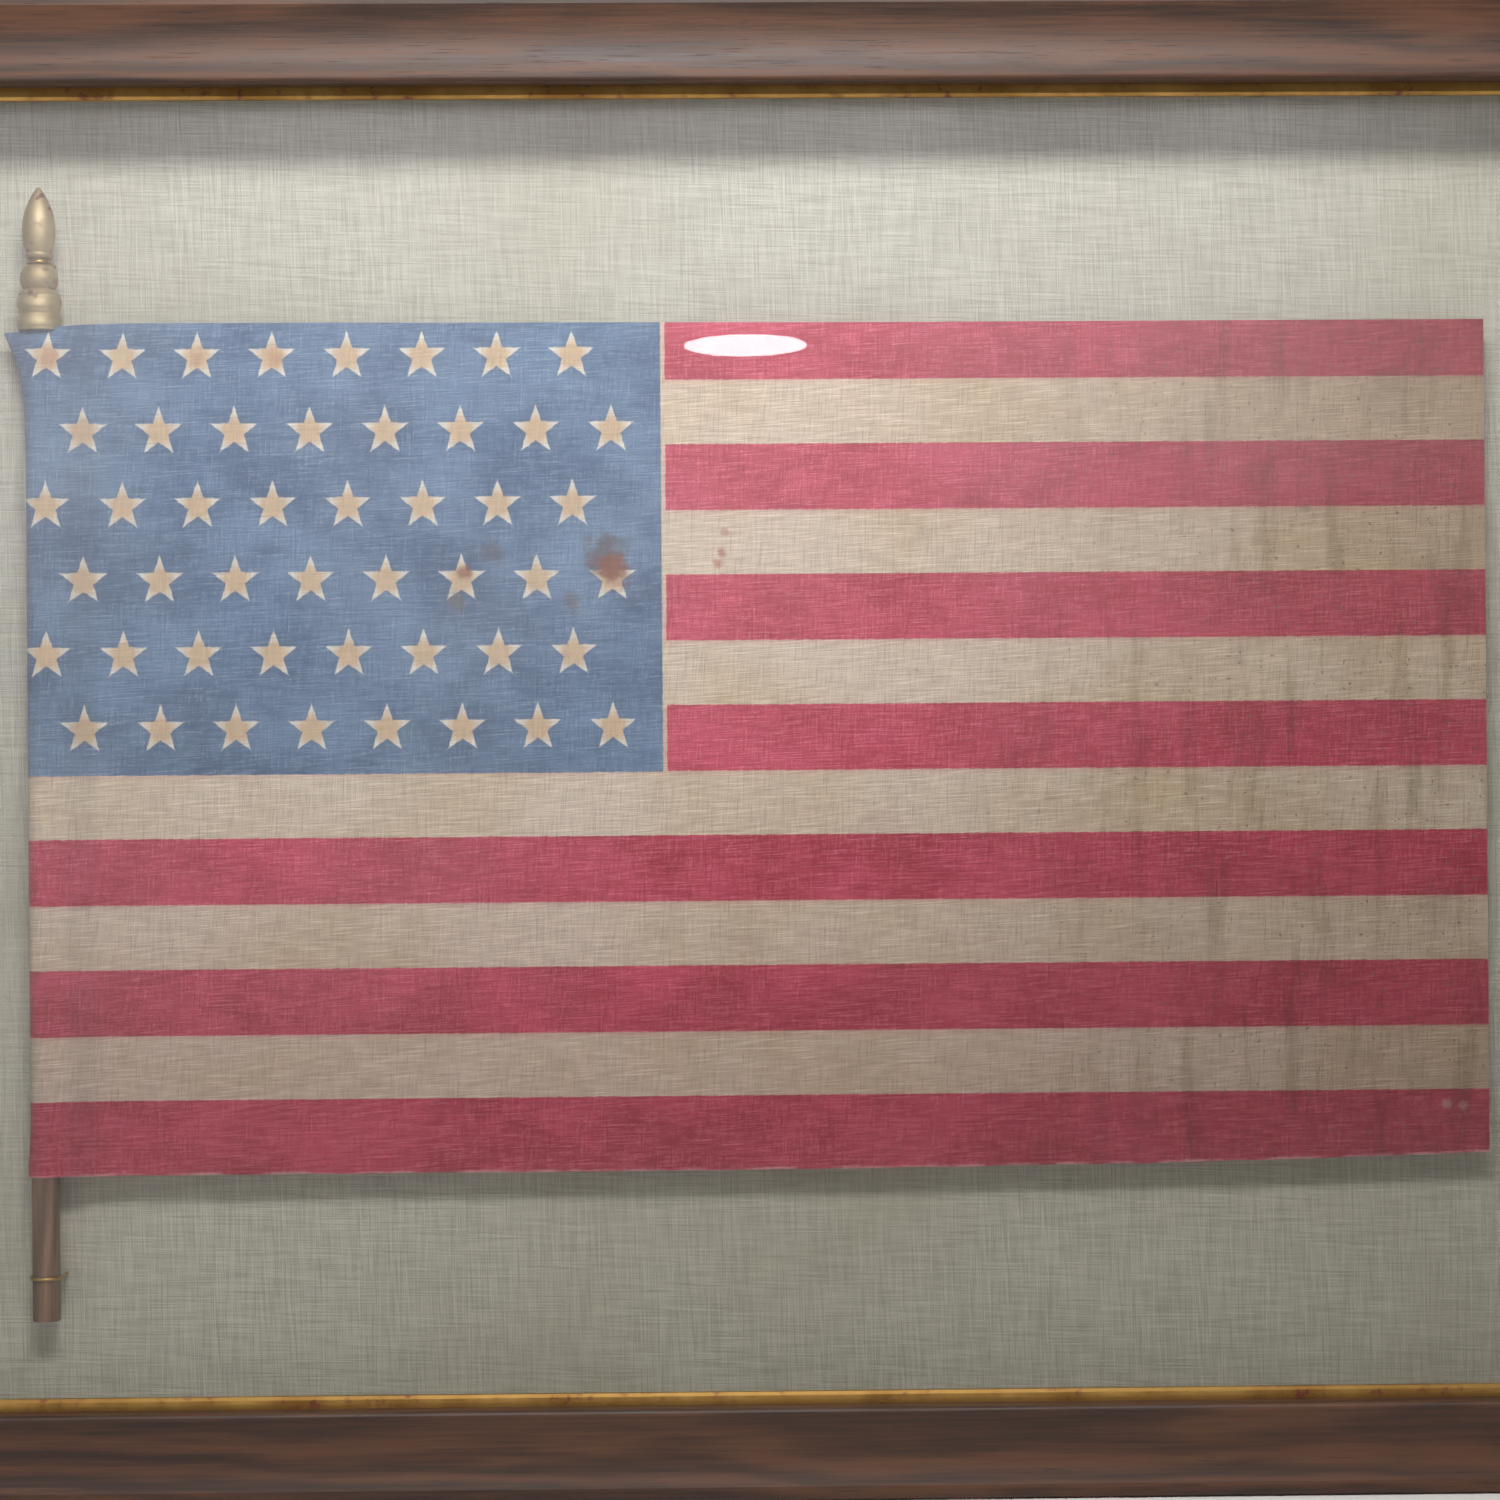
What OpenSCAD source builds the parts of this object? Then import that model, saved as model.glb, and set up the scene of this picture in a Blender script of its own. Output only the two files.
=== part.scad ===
// Back-loading shadow-box display frame holding a printed parade flag on its wooden staff.
// Millimetres, +Z up, front facing -Y, origin at the centre of the underside.

/* [Flag and staff] */
// Width of the cloth, staff edge to fly edge
flag_w = 511; // [300:1:800]
// Height of the cloth
flag_h = 298; // [180:1:480]
// Modelled cloth thickness
flag_t = 0.5; // [0.3:0.1:1]
// Diameter of the staff
staff_d = 9.5; // [6:0.5:16]
// Bare staff below the cloth
staff_below = 50; // [30:1:120]
// Height of the turned finial
finial_h = 50; // [40:1:70]
// Largest diameter of the finial
finial_d = 15.4; // [12:0.2:20]

/* [Display space] */
// Backing seen beside the cloth at the left and right
margin_side = 40; // [20:1:100]
// Backing seen below the staff and above the finial
margin_end = 24; // [10:1:80]
// How far the cloth stands forward of the backing
float_h = 9; // [6:0.5:12]
// Depth of the air space behind the glass
spacer_d = 22; // [19:1:40]

/* [Frame] */
// Face width of the wooden moulding
rail_w = 32; // [26:1:60]
// Thickness of the lip in front of the rabbet
lip_d = 9; // [6:0.5:15]
// Width of the rabbet
rabbet_w = 7; // [6:0.5:10]
// Thickness of the gilt sight strip
slip_t = 3; // [2:0.5:5]
// How far the gilt strip shows inside the moulding
slip_show = 4; // [2:0.5:8]
// Thickness of the glass
glass_t = 2.5; // [2:0.5:4]
// Width of the spacer strips
spacer_w = 5; // [3:0.5:8]
// Thickness of the linen
linen_t = 0.6; // [0.4:0.1:1]
// Thickness of the mount board
board_t = 5; // [3:0.5:8]
// Thickness of the backer board
backer_t = 3; // [2:0.5:6]

/* [Back hardware] */
// Thickness of a turn button
button_t = 1.5; // [1:0.1:3]
// Width of a turn button
button_w = 12; // [9:1:16]
// Screw centre to the middle of the turn button's tip
button_l = 11; // [9:1:13]
// Shank diameter of the screws
screw_d = 3; // [2.4:0.1:4]
// Wire diameter of a hanging ring
ring_wire_d = 2.5; // [2:0.1:4]
// Half width of a hanging ring, to the wire's centre
ring_r = 9.5; // [8:0.5:14]
// Height of a rear bumper
bumper_h = 6; // [6:0.5:10]

/* [Hidden] */
$fn = 48;
fit_gap = 0.5;          // clearance of the glass and boards inside the rabbet
move_gap = 0.35;        // clearance beside a turning piece
pin_gap = 0.08;         // radial clearance of a turning fit
sight_w = flag_w + 2 * margin_side;
sight_h = flag_h + staff_below + finial_h + 2 * margin_end;
outer_w = sight_w + 2 * (slip_show + rail_w);
outer_h = sight_h + 2 * (slip_show + rail_w);
rail_d = lip_d + slip_t + glass_t + spacer_d + linen_t + board_t + backer_t;
total_d = rail_d + bumper_h;
y_front = -total_d / 2;
y_rear = y_front + rail_d;
y_slip = y_front + lip_d;
y_glass = y_slip + slip_t;
y_spacer = y_glass + glass_t;
y_linen = y_spacer + spacer_d;
y_board = y_linen + linen_t;
y_backer = y_board + board_t;
pack_u = rail_w - rabbet_w + fit_gap;   // outer edge of the glass and boards, in from the frame's edge
pack_w = outer_w - 2 * pack_u;
pack_h = outer_h - 2 * pack_u;

staff_r = staff_d / 2;
sleeve_r = staff_r + flag_t;
y_cloth = y_linen - float_h - flag_t;
y_staff = y_cloth + flag_t + 0.6;
staff_x = -flag_w / 2 + sleeve_r;
flag_z = rail_w + slip_show + margin_end + staff_below;
flag_top = flag_z + flag_h;
sleeve_dip = 3;         // the sleeve's top edge sits this far below the cloth's
finial_z = flag_top - sleeve_dip + 0.3;
socket_l = 12;          // staff inside the finial
neck_z = finial_z + 23.8;
clip_r = 0.6;           // wire radius of the staff clips
clip_leg = 3;           // wire legs inside the board
clip_z = flag_z - 35;

key_leg = 23;           // corner spline, along each edge
key_t = 3;
key_depths = [14, 30];  // of the splines' middles, behind the front
screw_r = screw_d / 2;
screw_l = 12;
head_r = 3.1;
head_h = 1.9;
slot_w = 0.8;
button_u = 17;          // screw centre, in from the frame's edge
button_x = 0.28 * outer_w;
button_dz = 0.33 * outer_h;
wire_r = ring_wire_d / 2;
ring_leg = 5.5;         // straight side of a ring
strap_w = 13;
strap_t = 1.2;
strap_l = 30;           // ring axis to the lower screw end's centre
fold_l = 9.8;           // strap folded back over itself
strap_holes = [-6.3, -24];
knuckle_r = wire_r + pin_gap + strap_t;
hanger_x = outer_w / 2 - 12.5;
hanger_z = 0.72 * outer_h;
y_ring = y_rear + knuckle_r + 0.3;
bumper_r = 7;
bumper_in = 15;

walnut = [0.30, 0.18, 0.10];
gilt = [0.78, 0.62, 0.30];
linen = [0.72, 0.71, 0.66];
brass = [0.72, 0.58, 0.32];
steel = [0.62, 0.62, 0.64];

// ---- shared shapes ----

// A bar along X with mitred ends. Its 2D section is depth across, distance from the outer edge up.
module mitred_bar(length, reach) {
    intersection() {
        rotate([90, 0, 90])
            linear_extrude(length, center = true) children();
        rotate([90, 0, 0])
            linear_extrude(3 * total_d, center = true)
                polygon([[-length / 2, 0], [length / 2, 0],
                         [length / 2 - reach, reach], [reach - length / 2, reach]]);
    }
}

// Puts a bottom bar's copy at one of the four sides.
module at_side(side) {
    if (side == "bottom") children();
    if (side == "top") translate([0, 0, outer_h]) mirror([0, 0, 1]) children();
    if (side == "left") translate([-outer_w / 2, 0, outer_h / 2]) rotate([0, 90, 0]) children();
    if (side == "right")
        mirror([1, 0, 0]) translate([-outer_w / 2, 0, outer_h / 2]) rotate([0, 90, 0]) children();
}

// Outer half-round bead, scooped face, eased sight edge, rabbet behind the lip.
module rail_section() {
    bead_r = 4;
    scoop_r = 30;
    scoop_deep = 2.6;
    ease_r = 1.5;
    translate([y_front, 0])
        difference() {
            union() {
                translate([bead_r, 0]) square([rail_d - bead_r, rail_w]);
                translate([0, bead_r]) square([rail_d / 2, rail_w - bead_r - ease_r]);
                translate([ease_r, rail_w / 2]) square([lip_d - ease_r, rail_w / 2]);
                translate([bead_r, bead_r]) circle(bead_r);
                translate([ease_r, rail_w - ease_r]) circle(ease_r);
            }
            translate([scoop_deep - scoop_r, rail_w / 2 + 1.75]) circle(scoop_r, $fn = 96);
            translate([lip_d, rail_w - rabbet_w]) square([rail_d, rabbet_w + 1]);
        }
}

module slip_section() {
    translate([y_slip, pack_u])
        polygon([[0, 0], [slip_t, 0], [slip_t, rail_w + slip_show - pack_u],
                 [1, rail_w + slip_show - pack_u], [0, rail_w + slip_show - pack_u - 1]]);
}

module rail(side, length) {
    difference() {
        at_side(side) mitred_bar(length, rail_w) rail_section();
        key_shapes();
        screw_shanks();
        hanger_shanks();
    }
}

// Thin triangular splines let into the mitres from outside.
module key_shapes() {
    for (depth = key_depths)
        for (corner = [[-1, 0], [1, 0], [-1, 1], [1, 1]])
            translate([corner[0] * outer_w / 2, y_front + depth, corner[1] * outer_h])
                scale([-corner[0], 1, 1 - 2 * corner[1]])
                    rotate([90, 0, 0])
                        linear_extrude(key_t, center = true)
                            polygon([[0, 0], [key_leg, 0], [0, key_leg]]);
}

// ---- screws: pointed shank forward (-Y), slotted pan head behind, seat at y = 0 ----

module shank(length) {
    tip_l = 3;
    rotate([90, 0, 0]) {
        translate([0, 0, -0.5]) cylinder(h = length - tip_l + 0.5, r = screw_r, $fn = 24);
        translate([0, 0, length - tip_l]) cylinder(h = tip_l, r1 = screw_r, r2 = 0.3, $fn = 24);
    }
}

module head() {
    rim = 0.7;
    difference() {
        rotate([-90, 0, 0]) {
            cylinder(h = head_h - rim, r = head_r);
            translate([0, 0, head_h - rim]) cylinder(h = rim, r1 = head_r, r2 = head_r - rim);
        }
        translate([-slot_w / 2, head_h - 0.9, -head_r - 1]) cube([slot_w, 2, 2 * head_r + 2]);
    }
}

// Screw centres and the direction of each button's tip, degrees about Y from straight up.
button_spots = [[-button_x, button_u, 0], [button_x, button_u, 0],
                [-button_x, outer_h - button_u, 180], [button_x, outer_h - button_u, 180],
                [button_u - outer_w / 2, outer_h / 2 - button_dz, 90],
                [button_u - outer_w / 2, outer_h / 2 + button_dz, 90],
                [outer_w / 2 - button_u, outer_h / 2 - button_dz, -90],
                [outer_w / 2 - button_u, outer_h / 2 + button_dz, -90]];

module screw_shanks() {
    for (s = button_spots)
        translate([s[0], y_rear, s[1]]) shank(screw_l);
}

module hanger_shanks() {
    for (side = [-1, 1], z = strap_holes)
        translate([side * hanger_x, y_rear, hanger_z + z]) shank(screw_l);
}

// ---- moulding ----

module top_rail() color(walnut) rail("top", outer_w);
module bottom_rail() color(walnut) rail("bottom", outer_w);
module left_rail() color(walnut) rail("left", outer_h);
module right_rail() color(walnut) rail("right", outer_h);
module corner_keys() color([0.55, 0.38, 0.22]) key_shapes();

module slip(side, length) {
    color(gilt) at_side(side) mitred_bar(length, rail_w + slip_show) slip_section();
}
module top_slip() slip("top", outer_w);
module bottom_slip() slip("bottom", outer_w);
module left_slip() slip("left", outer_h);
module right_slip() slip("right", outer_h);

// ---- what the rabbet holds, front to back ----

// A slab as large as the glass, with its front at y.
module pack_slab(y, thickness) {
    translate([-pack_w / 2, y, pack_u]) cube([pack_w, thickness, pack_h]);
}

module glass_pane() color([0.85, 0.92, 0.92, 0.25]) pack_slab(y_glass, glass_t);

module end_spacer(z) {
    color(linen) translate([-pack_w / 2, y_spacer, z]) cube([pack_w, spacer_d, spacer_w]);
}
module side_spacer(x) {
    color(linen)
        translate([x, y_spacer, pack_u + spacer_w])
            cube([spacer_w, spacer_d, pack_h - 2 * spacer_w]);
}
module top_spacer() end_spacer(outer_h - pack_u - spacer_w);
module bottom_spacer() end_spacer(pack_u);
module left_spacer() side_spacer(-pack_w / 2);
module right_spacer() side_spacer(pack_w / 2 - spacer_w);

module backing_linen() {
    color(linen)
        difference() {
            pack_slab(y_linen, linen_t);
            clip_legs();
        }
}
module mount_board() {
    color([0.90, 0.89, 0.85])
        difference() {
            pack_slab(y_board, board_t);
            clip_legs();
        }
}
module backer_board() color([0.45, 0.33, 0.22]) pack_slab(y_backer, backer_t);

// Hidden raised panel that the cloth is laid over.
module float_panel() {
    inset = 10;
    from_staff = sleeve_r + 5;
    color([0.88, 0.86, 0.80])
        translate([staff_x + from_staff, y_cloth + flag_t, flag_z + inset])
            cube([flag_w / 2 - inset - staff_x - from_staff, float_h, flag_h - 2 * inset]);
}

// ---- flag, staff and finial ----

module staff_rod(low, high) {
    translate([staff_x, y_staff, low]) cylinder(h = high - low, r = staff_r);
}

// Flat cloth with a sleeve round the staff.
module flag() {
    color([0.70, 0.35, 0.38])
        difference() {
            union() {
                translate([staff_x, y_cloth, flag_z]) cube([flag_w / 2 - staff_x, flag_t, flag_h]);
                translate([staff_x, y_staff, flag_z]) cylinder(h = flag_h, r = sleeve_r);
            }
            staff_rod(flag_z - 1, flag_top + 1);
            translate([staff_x - sleeve_r - 1, y_staff - sleeve_r - 1, flag_top - sleeve_dip])
                cube([sleeve_r + 1 + finial_d / 2 + 0.4, 2 * sleeve_r + 2, sleeve_dip + 1]);
        }
}

module staff() {
    color([0.45, 0.35, 0.28]) staff_rod(flag_z - staff_below, finial_z + socket_l);
}

// Bead, groove, ball, neck, collar and ogive tip, turned in one piece with a blind socket.
// Turned profile from the foot up: two beads, a ball, a neck with a ring, a pointed tip.
module finial_profile() {
    foot_r = finial_d / 2;
    bead_h = 6.4;
    bead_r = 6;
    groove_r = foot_r - 0.5;
    ball_r = 6.6;
    ball_mid = 18;
    ball_high = 22.6;
    neck_r = 3.2;
    ring_mid = 26.4;
    ring_r = 1.4;
    tip_r = 5.7;
    tip_mid = 35;
    tip_low = 27.2;
    tip_rise = finial_h + 0.6 - tip_mid;     // the point is left a little blunt
    ogive_r = (tip_rise * tip_rise + tip_r * tip_r) / (2 * tip_r);
    intersection() {
        square([foot_r + 1, finial_h]);
        union() {
            square([groove_r, 2 * bead_h]);
            for (i = [0, 1])
                translate([foot_r - bead_r, (i + 0.5) * bead_h]) circle(bead_r);
            intersection() {
                translate([0, ball_mid]) circle(ball_r);
                translate([0, 2 * bead_h - 0.5]) square([ball_r + 1, ball_high - 2 * bead_h + 0.5]);
            }
            square([neck_r, tip_low + 1]);
            translate([neck_r, ring_mid]) circle(ring_r);
            intersection() {
                translate([tip_r - ogive_r, tip_mid]) circle(ogive_r, $fn = 96);
                translate([0, tip_low]) square([tip_r + 1, finial_h]);
            }
        }
    }
}
module finial() {
    color(gilt)
        translate([staff_x, y_staff, finial_z])
            difference() {
                rotate_extrude() finial_profile();
                translate([0, 0, -1]) cylinder(h = socket_l + 1, r = staff_r);
            }
}

// ---- wire clips that hold the staff to the mount board ----

module clip_leg_pair(z, loop_r, wire) {
    for (side = [-1, 1])
        translate([staff_x + side * loop_r, y_staff, z])
            rotate([-90, 0, 0])
                cylinder(h = y_board + clip_leg - y_staff, r = wire, $fn = 24);
}
module clip_legs() {
    clip_leg_pair(neck_z, 3.2 + clip_r, clip_r);
    clip_leg_pair(clip_z, staff_r + clip_r, clip_r);
}
module clip(z, loop_r) {
    color(brass) {
        clip_leg_pair(z, loop_r, clip_r);
        translate([staff_x, y_staff, z])
            intersection() {
                rotate_extrude() translate([loop_r, 0]) circle(clip_r, $fn = 24);
                translate([-10, -20, -2]) cube([20, 20, 4]);
            }
    }
}
module upper_clip() clip(neck_z, 3.2 + clip_r);
module lower_clip() clip(clip_z, staff_r + clip_r);

// ---- back hardware ----

module turn_button(i) {
    spot = button_spots[i];
    color(brass)
        translate([spot[0], y_rear + move_gap, spot[1]])
            rotate([0, spot[2], 0])
                translate([0, button_t, 0])
                    rotate([90, 0, 0])
                        linear_extrude(button_t)
                            difference() {
                                union() {
                                    circle(button_w / 2);
                                    translate([0, button_l]) circle(button_w / 2 - 1);
                                    polygon([[-button_w / 2, 0], [button_w / 2, 0],
                                             [button_w / 2 - 1, button_l],
                                             [1 - button_w / 2, button_l]]);
                                }
                                circle(screw_r + pin_gap);
                            }
}
module turn_button_1() turn_button(0);
module turn_button_2() turn_button(1);
module turn_button_3() turn_button(2);
module turn_button_4() turn_button(3);
module turn_button_5() turn_button(4);
module turn_button_6() turn_button(5);
module turn_button_7() turn_button(6);
module turn_button_8() turn_button(7);

module turn_button_screws() {
    stand = button_t + 2 * move_gap;
    color(steel)
        for (s = button_spots)
            translate([s[0], y_rear, s[1]]) {
                shank(screw_l);
                rotate([-90, 0, 0]) cylinder(h = stand, r = screw_r, $fn = 24);
                translate([0, stand, 0]) head();
            }
}

// Strap folded round the ring's straight bar; ring axis at z = 0, moulding's rear at y = 0.
module hanger_plate(side) {
    color(steel)
        translate([side * hanger_x, y_rear, hanger_z])
            difference() {
                union() {
                    translate([-strap_w / 2, 0, -strap_l + strap_w / 2])
                        cube([strap_w, strap_t, strap_l - strap_w / 2]);
                    translate([0, strap_t, strap_w / 2 - strap_l])
                        rotate([90, 0, 0]) cylinder(h = strap_t, r = strap_w / 2);
                    translate([-strap_w / 2, strap_t, -fold_l]) cube([strap_w, strap_t, fold_l]);
                    translate([-strap_w / 2, y_ring - y_rear, 0])
                        rotate([0, 90, 0]) cylinder(h = strap_w, r = knuckle_r);
                }
                translate([-strap_w, y_ring - y_rear, 0])
                    rotate([0, 90, 0]) cylinder(h = 2 * strap_w, r = wire_r + pin_gap);
                for (z = strap_holes)
                    translate([0, 5, z])
                        rotate([90, 0, 0]) cylinder(h = 10, r = screw_r, $fn = 24);
            }
}
module hanger_plate_left() hanger_plate(-1);
module hanger_plate_right() hanger_plate(1);

module hanger_screws() {
    seats = [2 * strap_t, strap_t];
    color(steel)
        for (side = [-1, 1], i = [0, 1])
            translate([side * hanger_x, y_rear, hanger_z + strap_holes[i]]) {
                shank(screw_l);
                rotate([-90, 0, 0]) cylinder(h = seats[i], r = screw_r, $fn = 24);
                translate([0, seats[i], 0]) head();
            }
}

// D of round wire: straight bar on the axis, short legs, half round below.
module d_ring(side) {
    color(steel)
        translate([side * hanger_x, y_ring, hanger_z]) {
            translate([-ring_r, 0, 0]) rotate([0, 90, 0]) cylinder(h = 2 * ring_r, r = wire_r);
            for (end = [-1, 1]) {
                translate([end * ring_r, 0, 0]) sphere(wire_r);
                translate([end * ring_r, 0, -ring_leg]) cylinder(h = ring_leg, r = wire_r);
            }
            translate([0, 0, -ring_leg])
                intersection() {
                    rotate([90, 0, 0]) rotate_extrude() translate([ring_r, 0]) circle(wire_r);
                    translate([-20, -5, -30]) cube([40, 10, 30]);
                }
        }
}
module d_ring_left() d_ring(-1);
module d_ring_right() d_ring(1);

module wall_bumpers() {
    edge = 1.5;
    color([0.12, 0.12, 0.12])
        for (side = [-1, 1])
            translate([side * (outer_w / 2 - bumper_in), y_rear, bumper_in])
                rotate([-90, 0, 0]) {
                    cylinder(h = bumper_h - edge, r = bumper_r);
                    translate([0, 0, bumper_h - edge])
                        cylinder(h = edge, r1 = bumper_r, r2 = bumper_r - edge);
                }
}

top_rail();
bottom_rail();
left_rail();
right_rail();
corner_keys();
top_slip();
bottom_slip();
left_slip();
right_slip();
glass_pane();
top_spacer();
bottom_spacer();
left_spacer();
right_spacer();
backing_linen();
mount_board();
float_panel();
flag();
staff();
finial();
upper_clip();
lower_clip();
backer_board();
turn_button_1();
turn_button_2();
turn_button_3();
turn_button_4();
turn_button_5();
turn_button_6();
turn_button_7();
turn_button_8();
turn_button_screws();
hanger_plate_left();
hanger_plate_right();
hanger_screws();
d_ring_left();
d_ring_right();
wall_bumpers();
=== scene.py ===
"""Looks of a shadow-box frame with a printed parade flag on its staff. Metres, in the part's own frame."""
import math
import random

import bpy
import numpy as np
from mathutils import Matrix, Vector, noise


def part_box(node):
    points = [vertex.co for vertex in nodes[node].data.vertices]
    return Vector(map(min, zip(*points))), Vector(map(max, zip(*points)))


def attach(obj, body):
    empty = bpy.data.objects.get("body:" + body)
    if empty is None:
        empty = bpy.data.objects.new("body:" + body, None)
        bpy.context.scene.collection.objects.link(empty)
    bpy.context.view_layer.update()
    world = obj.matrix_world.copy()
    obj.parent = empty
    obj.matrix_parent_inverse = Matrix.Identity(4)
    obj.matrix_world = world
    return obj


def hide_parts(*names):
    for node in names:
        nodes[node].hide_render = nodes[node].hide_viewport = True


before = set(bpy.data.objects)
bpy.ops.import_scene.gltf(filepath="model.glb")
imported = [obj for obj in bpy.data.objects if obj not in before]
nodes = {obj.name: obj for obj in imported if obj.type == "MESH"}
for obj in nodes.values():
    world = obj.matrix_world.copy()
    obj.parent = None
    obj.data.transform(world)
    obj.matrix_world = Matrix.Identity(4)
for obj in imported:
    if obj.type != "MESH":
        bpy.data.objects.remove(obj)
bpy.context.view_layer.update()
ROOT = "frame_and_contents"
MM = 0.001
FULL_TURN = 2 * math.pi

# ---------------------------------------------------------------- sizes taken from the solids
flag_low, flag_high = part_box("flag")
staff_low, staff_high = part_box("staff")
linen_low, linen_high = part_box("backing_linen")
panel_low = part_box("float_panel")[0]
FLAG_LEFT, FLAG_RIGHT = flag_low.x, flag_high.x
FLAG_BOTTOM, FLAG_TOP = flag_low.z, flag_high.z
FLAG_W, FLAG_H = FLAG_RIGHT - FLAG_LEFT, FLAG_TOP - FLAG_BOTTOM
STAFF_R = (staff_high.x - staff_low.x) / 2
STAFF_X = (staff_low.x + staff_high.x) / 2
STAFF_Y = (staff_low.y + staff_high.y) / 2
CLOTH_Y = panel_low.y - 0.5 * MM          # front of the cloth over the raised panel


# ---------------------------------------------------------------- material building blocks
def srgb(r, g, b):
    """A screen colour, 0 to 255, as the linear colour that shaders use."""
    linear = [c / 3294.6 if c <= 10.31 else ((c / 255 + 0.055) / 1.055) ** 2.4 for c in (r, g, b)]
    return (*linear, 1.0)


def plug(tree, socket, value):
    if isinstance(value, bpy.types.NodeSocket):
        tree.links.new(value, socket)
    else:
        socket.default_value = value


class Sums:
    """Writes a material's shader arithmetic as short calls; each returns an output socket."""

    def __init__(self, tree):
        self.tree = tree

    def do(self, operation, *values, clamp=False):
        node = self.tree.nodes.new("ShaderNodeMath")
        node.operation, node.use_clamp = operation, clamp
        for socket, value in zip(node.inputs, values):
            plug(self.tree, socket, value)
        return node.outputs[0]

    def add(self, a, b): return self.do("ADD", a, b)
    def sub(self, a, b): return self.do("SUBTRACT", a, b)
    def mul(self, a, b): return self.do("MULTIPLY", a, b)
    def both(self, a, b): return self.do("MULTIPLY", a, b, clamp=True)
    def either(self, a, b): return self.do("MAXIMUM", a, b)
    def invert(self, a): return self.do("SUBTRACT", 1.0, a, clamp=True)

    def rise(self, value, low, high):
        """0 below low, 1 above high, smooth between."""
        node = self.tree.nodes.new("ShaderNodeMapRange")
        node.interpolation_type = "SMOOTHSTEP"
        plug(self.tree, node.inputs["Value"], value)
        node.inputs["From Min"].default_value, node.inputs["From Max"].default_value = low, high
        return node.outputs["Result"]

    def fall(self, value, low, high):
        return self.invert(self.rise(value, low, high))

    def nearest(self, value, first, step, count):
        """Number of the nearest of count places that start at first."""
        index = self.do("FLOOR", self.add(self.do("DIVIDE", self.sub(value, first), step), 0.5))
        return self.do("MINIMUM", self.do("MAXIMUM", index, 0.0), count - 1.0)

    def vector(self, x, y, z=0.0):
        node = self.tree.nodes.new("ShaderNodeCombineXYZ")
        for socket, value in zip(node.inputs, (x, y, z)):
            plug(self.tree, socket, value)
        return node.outputs[0]

    def split(self, vector):
        node = self.tree.nodes.new("ShaderNodeSeparateXYZ")
        self.tree.links.new(vector, node.inputs[0])
        return node.outputs[0], node.outputs[1], node.outputs[2]

    def place(self):
        """The point's x, y and z on the object."""
        return self.split(self.tree.nodes.new("ShaderNodeTexCoord").outputs["Object"])

    def noise(self, x, y, z, detail=3.0, rough=0.55):
        node = self.tree.nodes.new("ShaderNodeTexNoise")
        node.inputs["Scale"].default_value = 1.0
        node.inputs["Detail"].default_value = detail
        node.inputs["Roughness"].default_value = rough
        self.tree.links.new(self.vector(x, y, z), node.inputs["Vector"])
        return node.outputs[0]

    def clouds(self, place, per_metre, seed=None, **more):
        """Noise of one scale in all directions. A seed stands in for a missing third direction."""
        scaled = [self.mul(value, per_metre) for value in place]
        if seed is not None:
            scaled.append(seed)
        return self.noise(*scaled, **more)

    def threads(self, along, across, seed, per_metre, length, detail=2.0):
        """Long thick-and-thin threads. The lean keeps neighbours from thickening at the same place."""
        lean = self.add(self.mul(along, 1 / length), self.mul(across, per_metre * 1.618))
        return self.noise(lean, self.mul(across, per_metre), seed, detail=detail)

    def plain_weave(self, a, b, pitch, wander, per_metre, seed):
        """Height of a plain weave, -1 to 1, whose threads wander sideways a little."""
        aside = self.mul(self.clouds((a, b), per_metre, seed), wander)
        weft = self.do("SINE", self.mul(self.add(b, aside), FULL_TURN / pitch))
        warp = self.do("SINE", self.mul(self.add(a, aside), FULL_TURN / pitch))
        return self.mul(weft, warp)

    def mix(self, factor, a, b, blend="MIX"):
        node = self.tree.nodes.new("ShaderNodeMix")
        node.data_type, node.blend_type = "RGBA", blend
        plug(self.tree, node.inputs["Factor"], factor)
        plug(self.tree, node.inputs["A"], a)
        plug(self.tree, node.inputs["B"], b)
        return node.outputs["Result"]

    def soil(self, factor, colour, leaves):
        """colour under dirt that leaves that much of the light."""
        return self.mix(factor, colour, leaves, blend="MULTIPLY")

    def shade(self, colour, amount):
        """colour times amount, a grey value."""
        node = self.tree.nodes.new("ShaderNodeVectorMath")
        node.operation = "SCALE"
        self.tree.links.new(colour, node.inputs[0])
        plug(self.tree, node.inputs["Scale"], amount)
        return node.outputs[0]

    def bump(self, height, distance, strength, under=None):
        node = self.tree.nodes.new("ShaderNodeBump")
        node.inputs["Strength"].default_value = strength
        node.inputs["Distance"].default_value = distance
        self.tree.links.new(height, node.inputs["Height"])
        if under is not None:
            self.tree.links.new(under, node.inputs["Normal"])
        return node.outputs[0]

    def shader_mix(self, factor, a, b):
        node = self.tree.nodes.new("ShaderNodeMixShader")
        for socket, value in zip(node.inputs, (factor, a, b)):
            self.tree.links.new(value, socket)
        return node.outputs[0]

    def surface(self, shader):
        self.tree.links.new(shader, self.tree.nodes["out"].inputs["Surface"])

    def principled(self, colour, rough, normal=None, metal=0.0, sheen=0.0):
        """Ends a material: one Principled surface from values or output sockets."""
        shader = self.tree.nodes.new("ShaderNodeBsdfPrincipled")
        values = {"Base Color": colour, "Roughness": rough, "Metallic": metal, "Sheen Weight": sheen}
        for name, value in values.items():
            plug(self.tree, shader.inputs[name], value)
        if normal is not None:
            self.tree.links.new(normal, shader.inputs["Normal"])
        self.surface(shader.outputs[0])


def new_material(name):
    """An empty material and the arithmetic that fills it."""
    material = bpy.data.materials.new(name)
    material.use_nodes = True
    tree = material.node_tree
    tree.nodes.clear()
    tree.nodes.new("ShaderNodeOutputMaterial").name = "out"
    return material, Sums(tree)


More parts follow.
